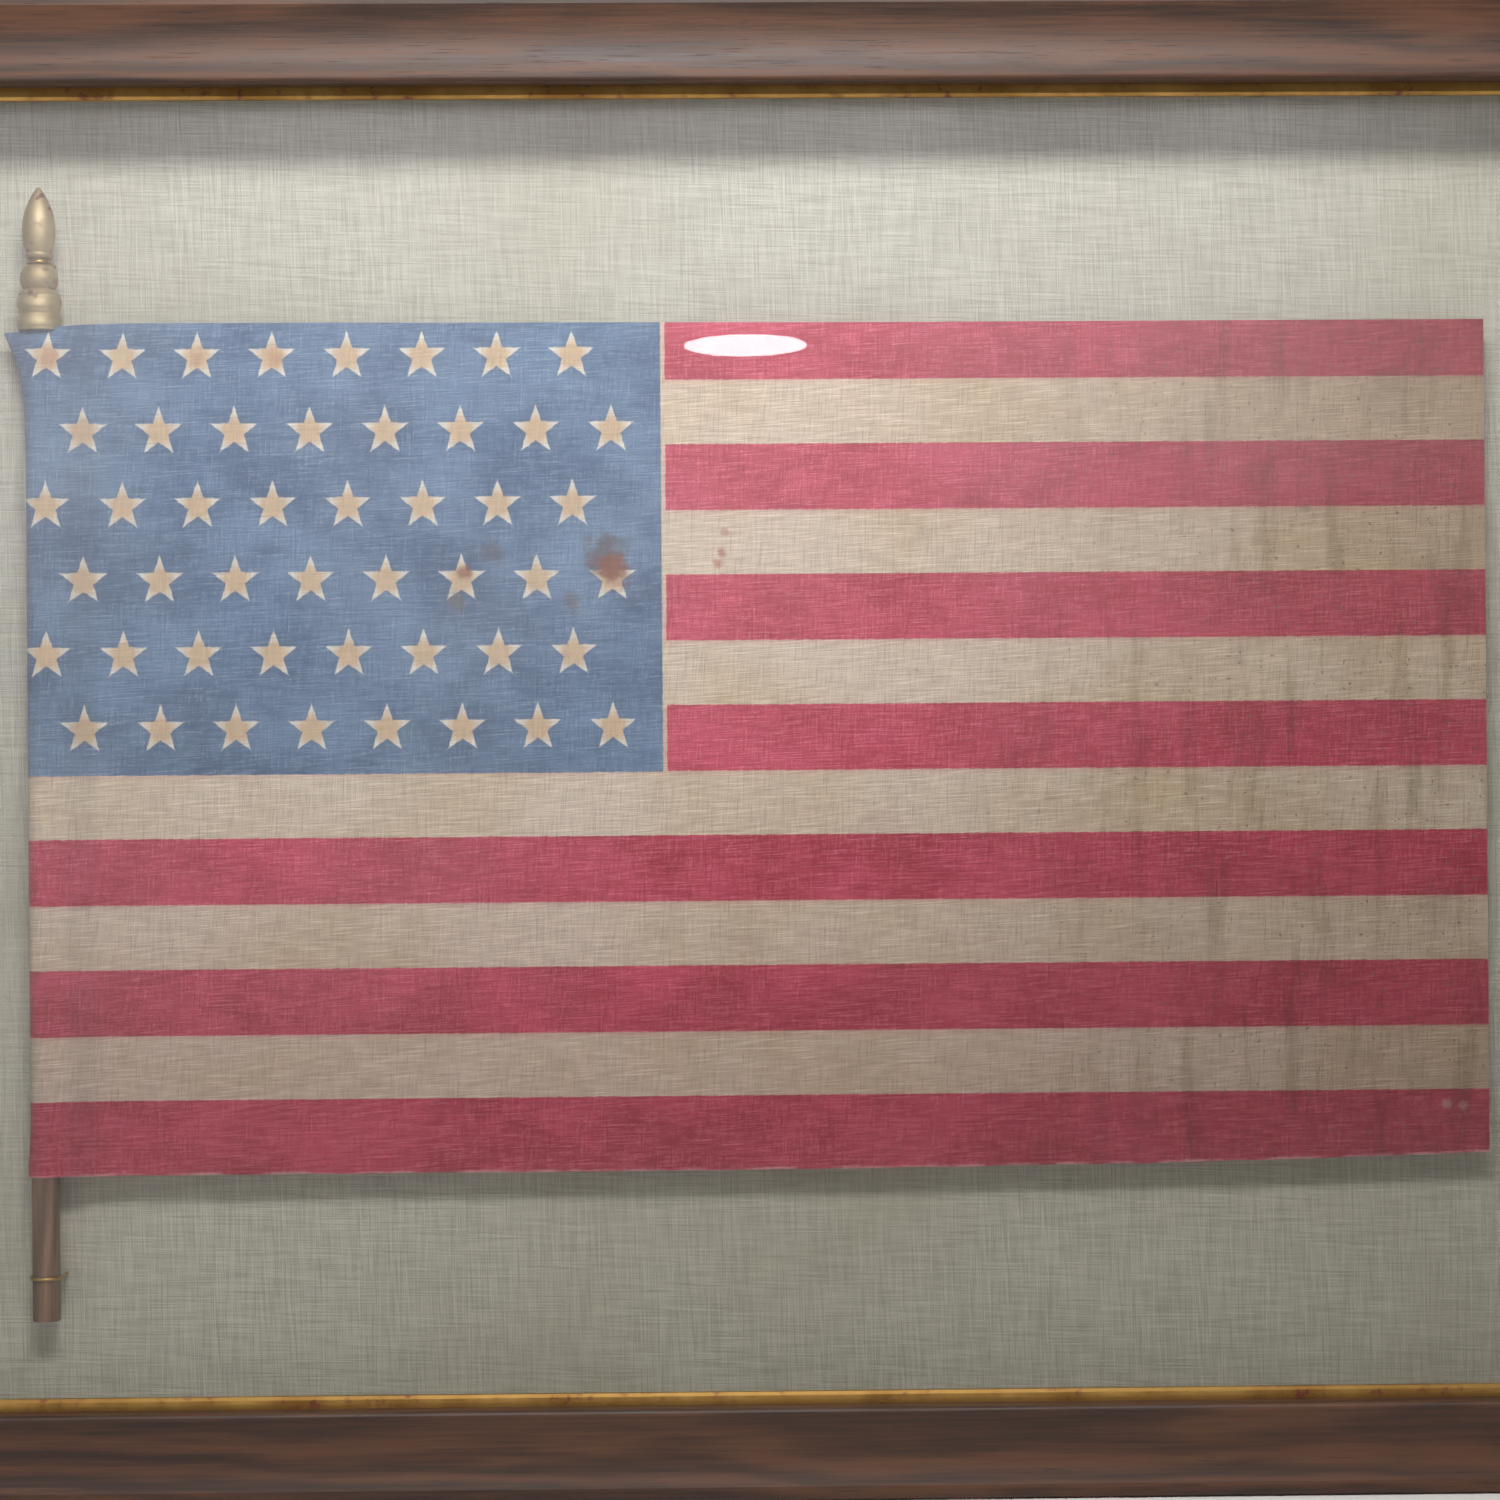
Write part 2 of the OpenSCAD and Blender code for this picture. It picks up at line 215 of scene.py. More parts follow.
# ---------------------------------------------------------------- camera, light and floor
CAMERA_AWAY, PICTURE_WIDTH = 1.10, 0.525           # from the cloth, and the width seen there
CAMERA_YAW, CAMERA_ROLL = math.radians(-0.9), math.radians(-0.43)
CAMERA_AIM = Vector((FLAG_LEFT + FLAG_W / 2 - 3.3 * MM, CLOTH_Y, FLAG_TOP - 150.8 * MM))

# Studio lights: name, place, aim, width and height, watts, colour
LIGHTS = (
    ("key", (-0.03, -0.66, 0.88), (-0.03, 0, 0.32), (0.60, 0.18), 10.5, (1.0, 0.965, 0.960)),
    ("fill", (-1.7, -1.7, 1.0), (0, 0, 0.25), (1.0, 1.0), 4.5, (0.96, 0.98, 1.0)),
    ("rear", (-0.9, 1.9, 1.6), (0, 0, 0.25), (1.2, 1.2), 62, (1.0, 0.98, 0.95)),
)
SKY_COLOUR, SKY_STRENGTH = (0.93, 0.94, 0.96, 1), 0.15
FLOOR_SIZE, FLOOR_COLOUR = 12, srgb(228, 225, 221)

# The round ceiling lamp that shows as a bright oval in the glass
LAMP_PLACE, LAMP_RADIUS, LAMP_STRETCH, LAMP_GLOW = (0.046, -3.3, 0.82), 0.085, 1.4, 44


def add_camera():
    """Nearly square on, a little rolled and turned, with the cloth filling the picture's width."""
    cam_data = bpy.data.cameras.new("camera")
    cam_data.sensor_width = 36
    cam_data.lens = cam_data.sensor_width * CAMERA_AWAY / PICTURE_WIDTH
    cam_data.clip_start, cam_data.clip_end = 0.01, 50
    cam = bpy.data.objects.new("camera", cam_data)
    cam.location = CAMERA_AIM + CAMERA_AWAY * Vector((math.sin(CAMERA_YAW), -math.cos(CAMERA_YAW), 0))
    look = (CAMERA_AIM - cam.location).to_track_quat("-Z", "Y").to_matrix()
    cam.rotation_euler = (look @ Matrix.Rotation(CAMERA_ROLL, 3, "Z")).to_euler()
    bpy.context.scene.collection.objects.link(cam)
    bpy.context.scene.camera = cam


def add_lights():
    for name, place, aim, (wide, tall), watts, colour in LIGHTS:
        data = bpy.data.lights.new(name, "AREA")
        data.shape, data.size, data.size_y = "ELLIPSE", wide, tall
        data.energy, data.color = watts, colour
        light = bpy.data.objects.new(name, data)
        bpy.context.scene.collection.objects.link(light)
        light.location = place
        light.rotation_euler = (Vector(aim) - Vector(place)).to_track_quat("-Z", "Y").to_euler()
    world = bpy.data.worlds.new("world")
    bpy.context.scene.world = world
    world.use_nodes = True
    background = world.node_tree.nodes["Background"]
    background.inputs["Color"].default_value = SKY_COLOUR
    background.inputs["Strength"].default_value = SKY_STRENGTH


def add_floor_and_lamp():
    bpy.ops.mesh.primitive_plane_add(size=FLOOR_SIZE, location=(0, 0, 0))
    floor = bpy.context.object
    floor.name = "floor"
    paint, s = new_material("floor_paint")
    s.principled(FLOOR_COLOUR, rough=0.75)
    floor.data.materials.append(paint)

    bpy.ops.mesh.primitive_circle_add(vertices=48, radius=LAMP_RADIUS, fill_type="NGON", location=LAMP_PLACE)
    lamp = bpy.context.object
    lamp.name = "ceiling_lamp"
    lamp.scale.y = LAMP_STRETCH
    lamp.visible_camera = False
    glow, s = new_material("lamp_glow")
    emission = s.tree.nodes.new("ShaderNodeEmission")
    emission.inputs["Strength"].default_value = LAMP_GLOW
    s.surface(emission.outputs[0])
    lamp.data.materials.append(glow)


# ---------------------------------------------------------------- flag print
# The mesh attribute that the print is laid out on, metres: from the staff edge, down from the print's top,
# and up from the cut foot.
FLAT = "flat"
PRINT_DROP = 1.2 * MM                       # the print's own top edge, below the cloth's highest point
STRIPE_PITCH, RED_WIDTH, TOP_TRIM = 45.6 * MM, 23.2 * MM, 3.25 * MM
REDS_BEFORE_LAST = 6
CANTON_W, CANTON_H, CANTON_GAP = 221.8 * MM, 157.0 * MM, 1.5 * MM
STAR_R, STAR_INNER, STAR_TALL = 8.2 * MM, 0.41, 1.04          # inner radius and height as shares
STAR_ROWS, STAR_COLUMNS = 6, 8
ROW_FIRST, ROW_PITCH = 11.1 * MM, 26.0 * MM
STAR_START = (7.7 * MM, 20.3 * MM)          # rows 1, 3, 5, then rows 2, 4, 6
STAR_STEP = (26.15 * MM, 26.30 * MM)

COTTON, COTTON_AGED = srgb(210, 193, 178), srgb(200, 178, 150)
COTTON_THREAD, COTTON_GAP = srgb(232, 221, 204), srgb(176, 156, 132)
RED_DEEP, RED_FADED, RED_WORN = srgb(170, 28, 58), srgb(206, 62, 96), srgb(222, 134, 154)
RED_BLED = srgb(206, 130, 130)
BLUE_DEEP, BLUE_FADED, BLUE_WORN = srgb(62, 92, 128), srgb(100, 128, 162), srgb(160, 168, 178)
BLUE_POOLED = srgb(70, 88, 118)
STAR_CREAM, STAR_THREAD, STAR_TIP = srgb(202, 174, 144), srgb(190, 160, 130), srgb(216, 212, 206)
CUT_EDGE, SPECK = srgb(196, 150, 148), srgb(104, 82, 64)
RUST, LIGHT_RUST, BURNT = srgb(124, 66, 42), srgb(168, 96, 70), srgb(82, 66, 64)
SOIL, PALE_PINK = srgb(96, 84, 70), srgb(220, 158, 166)

# What soiling and painted shade leave of the light: the first mixes dirt with painted shade towards the fly,
# the third is painted shade towards the foot, the second and fourth are real browning and smears
GRIME_AND_SHADE, BROWNED = (0.54, 0.50, 0.43, 1), (0.78, 0.70, 0.61, 1)
PAINTED_FOOT_SHADE, SMEARED = (0.68, 0.61, 0.61, 1), (0.62, 0.60, 0.50, 1)

# Stains, in mm: from the staff edge, from the top, radius; then strength and colour
STAINS = [
    (152.5, 87.5, 4.0, 0.75, RUST), (150.0, 97.0, 5.0, 0.55, SOIL), (162.5, 80.0, 5.5, 0.45, BURNT),
    (201.0, 81.0, 9.5, 0.72, BURNT), (204.5, 86.0, 8.0, 0.92, RUST), (191.0, 97.5, 5.0, 0.45, SOIL),
    (207.0, 78.0, 5.0, 0.35, SOIL), (243.0, 80.5, 2.2, 0.70, LIGHT_RUST),
    (241.5, 84.5, 2.6, 0.75, LIGHT_RUST), (244.0, 73.0, 2.0, 0.40, LIGHT_RUST),
    (8.5, 11.0, 4.0, 0.40, LIGHT_RUST), (60.0, 11.5, 3.6, 0.30, LIGHT_RUST),
    (87.5, 12.0, 4.2, 0.35, LIGHT_RUST),
    (430.0, 54.0, 7.0, 0.16, SOIL), (448.0, 66.0, 3.0, 0.35, SOIL), (492.0, 205.0, 12.0, 0.18, SOIL),
    (478.0, 26.0, 14.0, 0.18, SOIL), (300.0, 178.0, 14.0, 0.10, RUST), (251.0, 217.0, 9.0, 0.12, RUST),
    (496.0, 275.5, 2.6, 0.85, PALE_PINK), (502.0, 276.5, 2.2, 0.90, PALE_PINK),
]


def stripe_masks(s, a, b, wobble):
    """1 in the red stripes, and in the halo where red bled into the ground beside them."""
    phase = s.do("MODULO", s.add(s.add(b, wobble), TOP_TRIM + STRIPE_PITCH), STRIPE_PITCH)
    inside = s.sub(RED_WIDTH / 2, s.do("ABSOLUTE", s.sub(phase, RED_WIDTH / 2)))
    inside = s.either(inside, s.sub(b, REDS_BEFORE_LAST * STRIPE_PITCH))      # the last runs to the cut edge
    red = s.rise(inside, -0.25 * MM, 0.30 * MM)
    beside = s.do("MINIMUM", s.sub(CANTON_W + CANTON_GAP, s.add(a, wobble)), s.sub(CANTON_H, b))
    field_and_gap = s.rise(beside, -0.2 * MM, 0.2 * MM)
    return s.both(red, s.invert(field_and_gap)), s.rise(inside, -2.6 * MM, -0.1 * MM)


def field_mask(s, a, b, wobble):
    """1 in the blue star field."""
    inside = s.do("MINIMUM", s.sub(CANTON_W, s.add(a, wobble)), s.sub(CANTON_H, s.add(b, wobble)))
    return s.rise(inside, -0.25 * MM, 0.25 * MM)


def star_masks(s, a, b, wobble):
    """1 inside the printed stars, how near their points, and 1 just outside them."""
    row = s.nearest(b, ROW_FIRST, ROW_PITCH, STAR_ROWS)
    odd = s.do("MODULO", row, 2.0)
    start = s.add(s.mul(odd, STAR_START[1] - STAR_START[0]), STAR_START[0])
    step = s.add(s.mul(odd, STAR_STEP[1] - STAR_STEP[0]), STAR_STEP[0])
    column = s.nearest(a, start, step, STAR_COLUMNS)
    dx = s.sub(a, s.add(start, s.mul(column, step)))
    up = s.do("DIVIDE", s.sub(s.add(s.mul(row, ROW_PITCH), ROW_FIRST), b), STAR_TALL)
    radius = s.do("SQRT", s.add(s.mul(dx, dx), s.mul(up, up)))

    # One of the ten half points, folded onto the X axis: a straight edge from the tip to the inner corner.
    sector = FULL_TURN / 5
    turn = s.add(s.do("ARCTAN2", dx, up), FULL_TURN + sector / 2)
    folded = s.do("ABSOLUTE", s.sub(s.do("MODULO", turn, sector), sector / 2))
    x, y = s.mul(radius, s.do("COSINE", folded)), s.mul(radius, s.do("SINE", folded))
    inner = STAR_INNER * STAR_R
    corner_x, corner_y = inner * math.cos(sector / 2), inner * math.sin(sector / 2)
    length = math.hypot(STAR_R - corner_x, corner_y)
    away = s.add(s.mul(s.sub(x, STAR_R), corner_y / length), s.mul(y, (STAR_R - corner_x) / length))
    stars = s.fall(s.add(away, wobble), -0.15 * MM, 0.35 * MM)
    return stars, s.rise(radius, 0.35 * STAR_R, 0.85 * STAR_R), s.fall(away, 0.3 * MM, 2.2 * MM)


def cloth_threads(s, a, b):
    """Height of the coarse plain weave, 0 to 1, and of its thicker slub threads."""
    weave = s.plain_weave(a, b, pitch=1.25 * MM, wander=0.8 * MM, per_metre=60, seed=3.0)
    slub_across = s.threads(a, b, 0.0, per_metre=1250.0, length=0.007)
    slub_down = s.threads(b, a, 7.0, per_metre=1250.0, length=0.006)
    return s.add(s.mul(weave, 0.25), 0.5), slub_across, slub_down


def dyed_cloth(s, a, b, wobble, patch, slub_across, slub_down):
    """The print: dyes mottled, worn off the high threads and faded in broad patches."""
    fine = s.clouds((a, b), 700, seed=9.0, detail=2)
    streak = s.add(s.mul(slub_across, 0.45), s.add(s.mul(slub_down, 0.30), s.mul(fine, 0.25)))
    blue = s.mix(s.rise(patch, 0.32, 0.68), BLUE_DEEP, BLUE_FADED)
    blue = s.mix(s.mul(s.rise(streak, 0.48, 0.68), 0.42), blue, BLUE_WORN)
    red_dye = s.mix(s.rise(patch, 0.3, 0.72), RED_DEEP, RED_FADED)
    red_dye = s.mix(s.mul(s.rise(streak, 0.46, 0.66), 0.50), red_dye, RED_WORN)
    aged = s.rise(s.clouds((a, b), 14, seed=2.0, detail=5), 0.35, 0.75)
    ground = s.mix(aged, COTTON, COTTON_AGED)
    ground = s.mix(s.mul(s.rise(slub_across, 0.5, 0.75), 0.45), ground, COTTON_THREAD)
    ground = s.mix(s.mul(s.fall(slub_down, 0.28, 0.46), 0.30), ground, COTTON_GAP)
    cream = s.mix(s.mul(s.rise(slub_across, 0.42, 0.62), 0.5), STAR_CREAM, STAR_THREAD)

    red, halo = stripe_masks(s, a, b, wobble)
    field = field_mask(s, a, b, wobble)
    stars, points, near_star = star_masks(s, a, b, wobble)
    colour = s.mix(red, s.mix(s.mul(halo, 0.22), ground, RED_BLED), red_dye)
    colour = s.mix(field, colour, blue)
    pooled = s.both(field, s.mul(s.both(near_star, s.invert(points)), 0.45))
    colour = s.mix(pooled, colour, BLUE_POOLED)
    cream = s.mix(s.mul(points, 0.90), cream, STAR_TIP)
    return s.mix(s.both(field, stars), colour, cream)


def stained(s, colour, a, b):
    """Colour with the ragged round stains on it."""
    for at_a, at_b, radius, strength, stain in STAINS:
        da, db = s.sub(a, at_a * MM), s.sub(b, at_b * MM)
        spread = s.do("SQRT", s.add(s.mul(da, da), s.mul(db, db)))
        raggedness = s.mul(s.sub(s.clouds((a, b), 220, seed=at_a), 0.5), radius * 1.6 * MM)
        spot = s.fall(s.add(spread, raggedness), 0.25 * radius * MM, radius * MM)
        colour = s.mix(s.mul(spot, strength), colour, stain)
    return colour


def soiled_and_shaded(s, colour, a, b, patch):
    """Colour darker towards the fly, partly dirt and partly painted shade, painted shade darker towards the
    foot, and real browning, smears and specks near the fly.
    """
    # Darker towards the fly: partly real dirt, partly painted shade.
    to_fly = s.both(s.rise(a, 0.20, 0.50), s.add(s.mul(patch, 0.75), 0.28))
    colour = s.soil(to_fly, colour, GRIME_AND_SHADE)
    # Painted shade: darker towards the foot.
    colour = s.soil(s.rise(b, 0.12, 0.30), colour, PAINTED_FOOT_SHADE)
    upper_fly = s.both(s.rise(a, 0.34, 0.50), s.fall(b, 0.02, 0.18))
    colour = s.soil(upper_fly, colour, BROWNED)
    smear = s.rise(s.noise(s.mul(a, 130), s.mul(b, 16), 11.0, detail=4, rough=0.6), 0.48, 0.68)
    smear = s.both(s.mul(smear, 0.66), s.rise(a, 0.30, 0.44))
    colour = s.soil(smear, colour, SMEARED)
    specks = s.rise(s.clouds((a, b), 520, seed=13.0, detail=2), 0.64, 0.71)
    specks = s.both(specks, s.mul(s.rise(s.add(a, s.mul(patch, 0.2)), 0.34, 0.58), 0.80))
    return s.mix(specks, colour, SPECK)


def flag_material():
    material, s = new_material("flag_print")
    node = s.tree.nodes.new("ShaderNodeAttribute")
    node.attribute_name = FLAT
    a, b, above_foot = s.split(node.outputs["Vector"])
    weave, slub_across, slub_down = cloth_threads(s, a, b)
    edge_noise = s.sub(s.clouds((a, b), 500, seed=1.0), 0.5)
    wobble = s.mul(edge_noise, 0.9 * MM)
    patch = s.noise(s.mul(a, 22), s.mul(b, 30), 5.0, detail=6, rough=0.65)
    colour = dyed_cloth(s, a, b, wobble, patch, slub_across, slub_down)
    colour = soiled_and_shaded(s, stained(s, colour, a, b), a, b, patch)

    # A pale ragged cut edge in places, painted shade over the cloth's shallow upright dip beside the sleeve,
    # and painted light on the threads.
    ragged_edge = s.fall(s.add(above_foot, s.mul(edge_noise, 1.2 * MM)), 0.2 * MM, 1.3 * MM)
    in_places = s.rise(s.noise(s.mul(a, 60), 2.0, 3.0, detail=4), 0.42, 0.58)
    colour = s.mix(s.mul(s.both(ragged_edge, in_places), 0.6), colour, CUT_EDGE)
    # Painted shade where the cloth dips from the staff onto the panel.
    fold = s.both(s.rise(a, 11 * MM, 17 * MM), s.fall(a, 21 * MM, 27 * MM))
    colour = s.shade(colour, s.sub(1.0, s.mul(fold, 0.12)))
    thread_light = s.add(s.mul(weave, 0.14), s.add(slub_across, s.mul(slub_down, 0.66)))
    colour = s.shade(colour, s.add(thread_light, 0.10))

    height = s.add(s.mul(weave, 0.35), s.add(slub_across, s.mul(slub_down, 0.7)))
    s.principled(colour, rough=0.88, normal=s.bump(height, 0.22 * MM, 0.5), sheen=0.12)
    return material


# ---------------------------------------------------------------- flag cloth
SLEEVE_R = STAFF_R + 0.25 * MM              # middle of the cloth round the staff
SLEEVE_SEAM, SLEEVE_FRONT, SLEEVE_STEPS = math.radians(35), math.radians(300), 44
TORN_OUT, TORN_DOWN = 7.2 * MM, 13 * MM     # the torn-open top corner of the sleeve
FOOT_OUT, FOOT_UP = 1.0 * MM, 12 * MM       # the sleeve's slightly open foot
DIP = 26 * MM                               # over this width the cloth comes off the staff onto the panel
DIP_STEPS, FLAT_STEPS, ROWS_DOWN = 24, 250, 190
CREASES = ((0.116, 0.010), (0.174, -0.006), (0.198, 0.004), (-0.205, 0.002), (-0.10, 0.004))     # x, lean
CREASE_WIDTH = 3.5 * MM
LIP, LIP_BACK = 10 * MM, 0.6 * MM           # the top and bottom edges curl back a little over this height


def flare(down):
    """How far the sleeve's fold stands out left of the staff, at its torn top corner and at its foot."""
    top = TORN_OUT * math.exp(-(down / TORN_DOWN) ** 1.3)
    foot = FOOT_OUT * math.exp(-((FLAG_H - down) / FOOT_UP) ** 2)
    return top + foot


def sleeve_points(down):
    """Plan-view points (x, y) of the cloth from its seam round the staff's back, left side and front."""
    out = flare(down)
    squash = 0.35 * min(1, out / (7 * MM))          # a flared sleeve is also flatter
    points = []
    for i in range(SLEEVE_STEPS + 1):
        # 90 degrees is behind, 180 left and 270 in front.
        angle = SLEEVE_SEAM + (SLEEVE_FRONT - SLEEVE_SEAM) * i / SLEEVE_STEPS
        left = max(0.0, -math.cos(angle)) ** 2
        points.append((STAFF_X + SLEEVE_R * math.cos(angle) - out * left,
                       STAFF_Y + SLEEVE_R * math.sin(angle) * (1 - squash * left)))
    return points


def front_points(start):
    """Plan-view points from the sleeve's front down onto the raised panel and across to the fly."""
    x0, y0 = start
    xs = [*np.linspace(x0, x0 + DIP, DIP_STEPS)[1:], *np.linspace(x0 + DIP, FLAG_RIGHT, FLAT_STEPS)[1:]]
    points = []
    for x in xs:
        t = min(1.0, (x - x0) / DIP)
        ease = t * t * (3 - 2 * t)
        points.append((x, y0 + (CLOTH_Y - y0) * ease ** 0.55))
    return points


def top_edge(from_left):
    """How far the cut top edge is below the cloth's highest point: more at the staff, a little at the fly."""
    along = max(0.0, from_left)
    return 3.4 * MM * math.exp(-(along / (15 * MM)) ** 1.3) + 1.2 * MM * min(1.0, along / 0.30)


def bottom_edge(from_left):
    """How far the cut bottom edge is above the cloth's lowest point: it rises towards the fly and wavers."""
    t = max(0.0, (from_left - 0.20) / 0.31)
    waver = 0.3 * MM * noise.noise(Vector((from_left * 60, 4.2, 0)))
    return 3.9 * MM * t ** 2.6 + waver + 0.3 * MM


def wrinkle(x, z):
    """Small forward ripples of the cloth, in metres."""
    soft = noise.fractal(Vector((x * 9, 0, z * 5)), 1.0, 2.0, 3)
    creases = 0.0
    for foot_x, lean in CREASES:
        creases += math.exp(-(((x - foot_x - lean * (z - FLAG_BOTTOM)) / CREASE_WIDTH) ** 2))
    ripples = noise.noise(Vector((x * 55, 3.3, z * 14)))
    return 0.28 * MM * max(0.0, soft + 0.3) + 0.16 * MM * creases + 0.10 * MM * abs(ripples)


def curl_back(z):
    """How far the cloth's top and bottom edges curl towards the linen."""
    past = max(0.0, abs(z - (FLAG_BOTTOM + FLAG_H / 2)) - (FLAG_H / 2 - LIP)) / LIP
    return LIP_BACK * past ** 2


def new_piece(name, verts, faces, material):
    mesh = bpy.data.meshes.new(name)
    mesh.from_pydata(verts, [], faces)
    mesh.shade_smooth()
    mesh.materials.append(material)
    piece = bpy.data.objects.new(name, mesh)
    bpy.context.scene.collection.objects.link(piece)
    return piece


def grid_faces(across, down):
    """Quads of a grid of across by down points, listed row by row from the top, seen from the front."""
    return [(j * across + i, (j + 1) * across + i, (j + 1) * across + i + 1, j * across + i + 1)
            for j in range(down - 1) for i in range(across - 1)]


def build_flag():
    """A single layer of cloth as a grid: columns run from the hidden seam round the staff to the fly."""
    verts, flat = [], []
    for j in range(ROWS_DOWN + 1):
        share = j / ROWS_DOWN
        down = FLAG_H * share
        sleeve = sleeve_points(down)
        plan = sleeve + front_points(sleeve[-1])
        leftmost = min(range(len(sleeve)), key=lambda k: sleeve[k][0])
        for i, (x, y) in enumerate(plan):
            from_left = x - FLAG_LEFT
            on_back = i < leftmost
            edge_place = 0 if on_back else from_left
            high, low = top_edge(edge_place), bottom_edge(edge_place)
            below_top = high + (FLAG_H - high - low) * share
            z = FLAG_TOP - below_top
            if i >= len(sleeve):
                off_staff = min(1.0, (x - sleeve[-1][0]) / (30 * MM))
                y += (curl_back(z) - wrinkle(x, z)) * off_staff
            if on_back:
                a = -0.5 * math.pi * STAFF_R * (leftmost - i) / leftmost
            else:
                pulled = 2.2 * MM * math.exp(-down / (14 * MM)) * math.exp(-max(0.0, from_left) / (35 * MM))
                a = from_left - pulled
            verts.append((x, y, z))
            flat.append((a, below_top - PRINT_DROP, z - (FLAG_BOTTOM + low)))
    cloth = new_piece("flag_cloth", verts, grid_faces(len(plan), ROWS_DOWN + 1), flag_material())
    attribute = cloth.data.attributes.new(FLAT, "FLOAT_VECTOR", "POINT")
    attribute.data.foreach_set("vector", np.array(flat, np.float32).ravel())
    halfway = sleeve_points(FLAG_H / 2)
    round_staff = sum(math.dist(p, q) for p, q in zip(halfway, halfway[1:]))
    return cloth, (round_staff + FLAG_RIGHT - halfway[-1][0], FLAG_H)


# ---------------------------------------------------------------- loose threads
FOOT_THREADS, FLY_THREADS = 230, 70


def thread_tube(points, radius, verts, faces):
    """Adds a three-sided tapering tube along points to a mesh's lists."""
    base = len(verts)
    for k, (x, y, z) in enumerate(points):
        taper = radius * (1 - 0.5 * k / (len(points) - 1))
        for side in range(3):
            angle = FULL_TURN * side / 3
            leaning = 0.7 * taper * math.cos(angle)
            verts.append((x + leaning, y + taper * math.sin(angle), z + leaning))
    for k in range(len(points) - 1):
        for side in range(3):
            one, two = base + 3 * k + side, base + 3 * k + (side + 1) % 3
            faces.append((one, two, two + 3, one + 3))


def build_frays():
    """Loose pale thread ends along the cut bottom edge and the fly."""
    rng = random.Random(48)
    shares = (0, 0.35, 0.7, 1)                      # of a thread's length
    verts, faces = [], []
    y = CLOTH_Y + 0.4 * MM
    for _ in range(FOOT_THREADS):
        along = rng.uniform(12 * MM, FLAG_W - 2 * MM)
        x = FLAG_LEFT + along
        z = FLAG_BOTTOM + bottom_edge(along) + 0.5 * MM
        length = rng.choice((0.9, 1.2, 1.6, 2.6)) * MM
        lean = rng.uniform(-1.3, 1.3)
        points = [(x + lean * length * t * t, y + 0.3 * MM * t, z - length * t) for t in shares]
        thread_tube(points, rng.uniform(0.07, 0.12) * MM, verts, faces)
    x, y = FLAG_RIGHT - 0.4 * MM, CLOTH_Y + 0.2 * MM
    for _ in range(FLY_THREADS):
        z = rng.uniform(FLAG_BOTTOM + 7 * MM, FLAG_TOP - 2 * MM)
        length = rng.uniform(0.5, 1.4) * MM
        lean = rng.uniform(-0.8, 0.8)
        points = [(x + length * t, y, z + lean * length * t * t) for t in shares]
        thread_tube(points, rng.uniform(0.06, 0.10) * MM, verts, faces)
    material, s = new_material("loose_threads")
    x, y, z = s.place()
    tint = s.rise(s.noise(s.mul(x, 300), 0.0, s.mul(z, 300)), 0.4, 0.6)
    s.principled(s.mix(tint, srgb(196, 128, 130), srgb(206, 176, 162)), rough=0.9)
    return new_piece("flag_frays", verts, faces, material)


# ---------------------------------------------------------------- linen
LINEN_DARK, LINEN_LIGHT, LINEN_AGED = srgb(168, 166, 153), srgb(218, 214, 204), srgb(176, 166, 142)
LINEN_FOOT_SHADE = (0.72, 0.70, 0.66, 1)          # what the painted shade at the linen's foot, below the flag, leaves of the light


def linen_material():
    material, s = new_material("linen_weave")
    x, y, z = s.place()
    weave = s.plain_weave(x, z, pitch=0.95 * MM, wander=0.9 * MM, per_metre=50, seed=1.0)
    weave = s.add(s.mul(weave, 0.5), 0.5)
    across = s.threads(x, z, 2.0, per_metre=1500.0, length=0.012)
    upright = s.threads(z, x, 4.0, per_metre=1500.0, length=0.012)
    slubs = s.add(s.mul(across, 0.5), s.mul(upright, 0.5))
    aged = s.rise(s.clouds((x, z), 6, seed=6.0, detail=3), 0.4, 0.7)
    colour = s.mix(s.rise(slubs, 0.36, 0.64), LINEN_DARK, LINEN_LIGHT)
    colour = s.mix(s.mul(aged, 0.35), colour, LINEN_AGED)
    # Painted shade: darker below the flag's foot, more so to the right.
    painted_linen_shade = s.both(s.fall(z, FLAG_BOTTOM - 0.01, FLAG_BOTTOM + 0.05), s.add(s.mul(x, 1.1), 0.75))
    colour = s.soil(painted_linen_shade, colour, LINEN_FOOT_SHADE)
    # Painted shade between the threads: the weave's low places darker, its high threads lighter.
    colour = s.shade(colour, s.add(s.mul(weave, 0.16), 0.86))
    height = s.add(weave, s.mul(slubs, 1.4))
    s.principled(colour, rough=0.92, normal=s.bump(height, 0.25 * MM, 0.6), sheen=0.1)
    return material


def build_linen():
    """Cloth stretched over the mount board, barely uneven."""
    across, down = 90, 70
    face_y = linen_high.y - 0.3 * MM
    size = linen_high - linen_low
    verts = []
    for j in range(down + 1):
        for i in range(across + 1):
            x, z = linen_low.x + size.x * i / across, linen_high.z - size.z * j / down
            verts.append((x, face_y - 0.2 * MM * abs(noise.noise(Vector((x * 12, 1.7, z * 12)))), z))
    return new_piece("linen_cover", verts, grid_faces(across + 1, down + 1), linen_material())


# ---------------------------------------------------------------- wood, gilt, metal, board, rubber, glass
ALONG_X, ALONG_Z = 0, 2
GILT_CLAY = srgb(104, 48, 30)
FINIAL_FOOT = 12.4 * MM                     # height of the finial's foot, which is carved as a rope
ROPE_PITCH = 6.4 * MM


